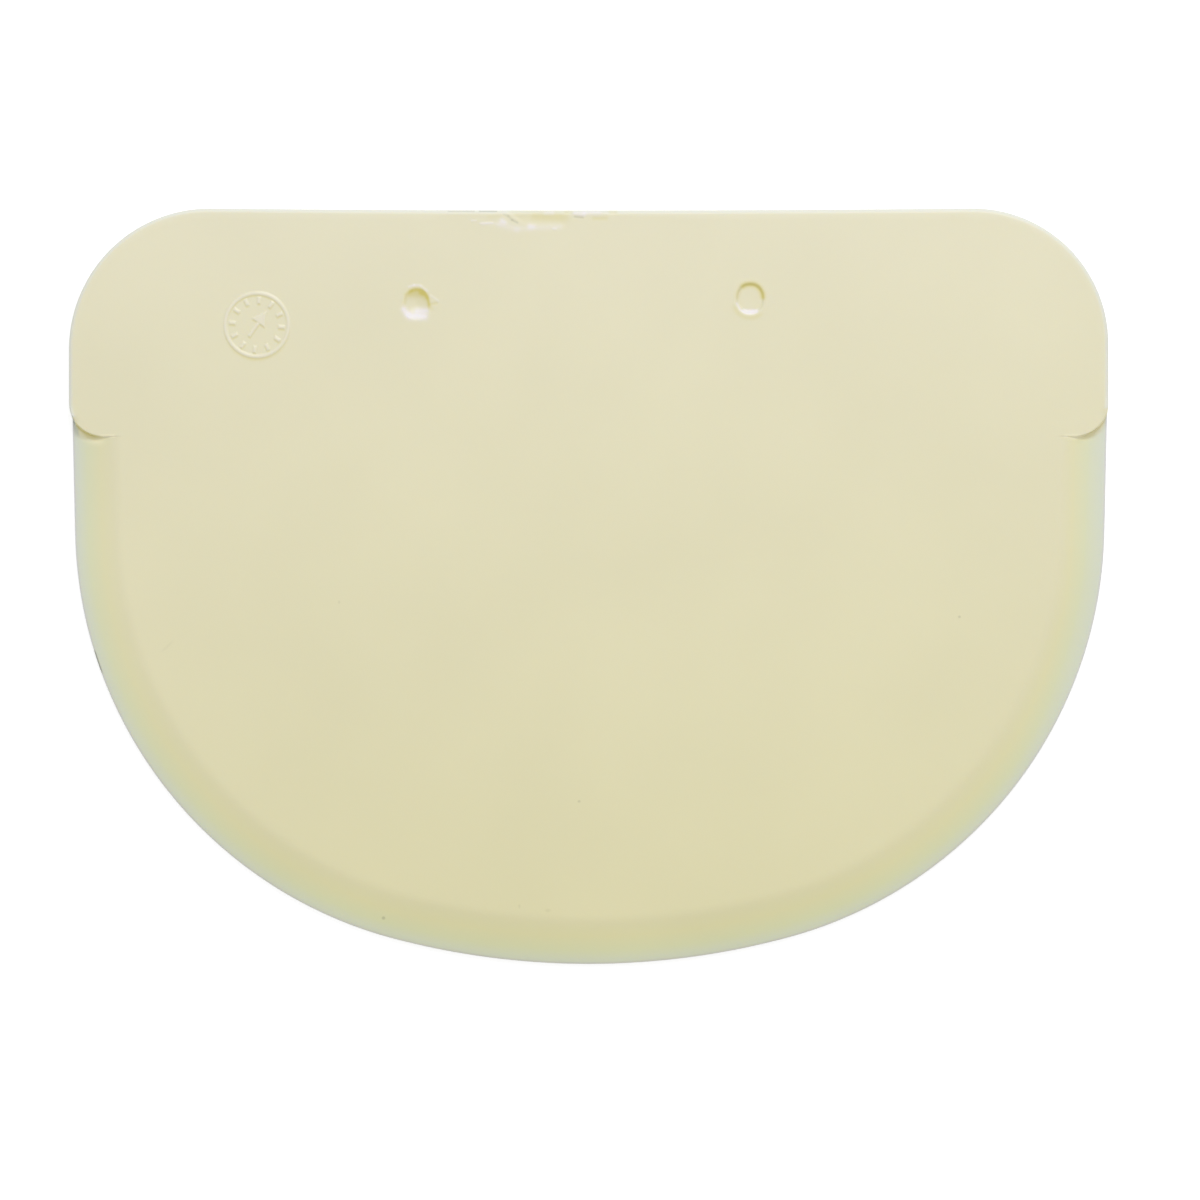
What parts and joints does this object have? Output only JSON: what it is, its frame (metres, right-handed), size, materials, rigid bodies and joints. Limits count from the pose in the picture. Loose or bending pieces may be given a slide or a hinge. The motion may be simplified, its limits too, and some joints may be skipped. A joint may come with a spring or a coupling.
{
  "type": "bowl scraper",
  "caption": "Flat half-round bowl scraper moulded in one piece: thick straight-edged handle slab, thinner bevelled edge round the curve for scraping bowls and dough.",
  "frame": {"origin": "middle of the footprint, on the plain back face", "axes": "+X along the straight edge, +Y from the curved scraping edge towards the straight edge, +Z out of the bevelled face"},
  "size_m": [0.12, 0.0873, 0.0025],
  "materials": {
    "moulded_plastic": "satin"
  },
  "bodies": {
    "root": {"scraper_plate": "moulded_plastic"}
  },
  "joints": []
}
